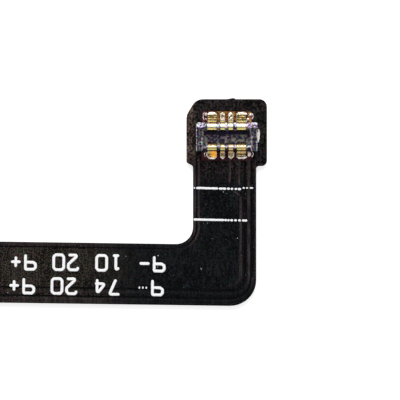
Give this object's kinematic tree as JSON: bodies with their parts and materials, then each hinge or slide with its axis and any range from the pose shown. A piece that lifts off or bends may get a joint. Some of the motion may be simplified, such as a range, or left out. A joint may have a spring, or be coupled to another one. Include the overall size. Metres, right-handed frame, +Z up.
{
  "type": "mobile phone battery",
  "caption": "Flat pouch-cell phone battery with a taped protection board and a short L-shaped flexible lead ending in a gold-contact plug.",
  "frame": {"origin": "centre of the pack's back face, which lies on the surface", "axes": "+X along the pack towards the flexible lead, +Y across the pack, +Z up out of the face that the plug's contacts face"},
  "size_m": [0.092, 0.05, 0.0043],
  "materials": {
    "pouch_foil": "satin laminate foil",
    "sleeve_film": "satin dark film",
    "amber_tape": "glossy amber film",
    "insulator_paper": "matte",
    "board_mask": "solder mask",
    "tab_aluminium": "rolled",
    "nickel": "rolled nickel",
    "tab_seal": "matte",
    "chip_resin": "moulded",
    "chip_ceramic": "fired",
    "solder": "bright tin",
    "contact_gold": "gold plated",
    "black_coverlay": "satin black film",
    "stiffener": "satin",
    "housing_resin": "moulded"
  },
  "bodies": {
    "root": {"pouch_cell": "pouch_foil", "cell_sleeve": "sleeve_film", "board_tape": "amber_tape", "terrace_insulator": "insulator_paper", "protection_board": "board_mask", "positive_tab": "tab_aluminium", "negative_tab": "nickel", "positive_tab_seal": "tab_seal", "negative_tab_seal": "tab_seal", "positive_weld_plate": "nickel", "negative_weld_plate": "nickel", "protection_chip": "chip_resin", "switch_transistor": "chip_resin", "thermal_cutoff": "chip_resin", "sense_resistor": "chip_resin", "supply_resistor": "chip_resin", "id_resistor": "chip_resin", "filter_capacitor": "chip_ceramic", "thermistor": "chip_ceramic", "flex_lead": "black_coverlay", "head_stiffener": "stiffener", "connector_housing": "housing_resin", "hold_down_left": "solder", "hold_down_right": "solder", "hold_down_joint_left": "solder", "hold_down_joint_right": "solder", "lead_joint_1": "solder", "upper_contact_1": "contact_gold", "upper_joint_1": "solder", "lower_contact_1": "contact_gold", "lower_joint_1": "solder", "lead_joint_2": "solder", "upper_contact_2": "contact_gold", "upper_joint_2": "solder", "lower_contact_2": "contact_gold", "lower_joint_2": "solder", "lead_joint_3": "solder", "upper_contact_3": "contact_gold", "upper_joint_3": "solder", "lower_contact_3": "contact_gold", "lower_joint_3": "solder", "lead_joint_4": "solder", "upper_contact_4": "contact_gold", "upper_joint_4": "solder", "lower_contact_4": "contact_gold", "lower_joint_4": "solder"}
  },
  "joints": []
}
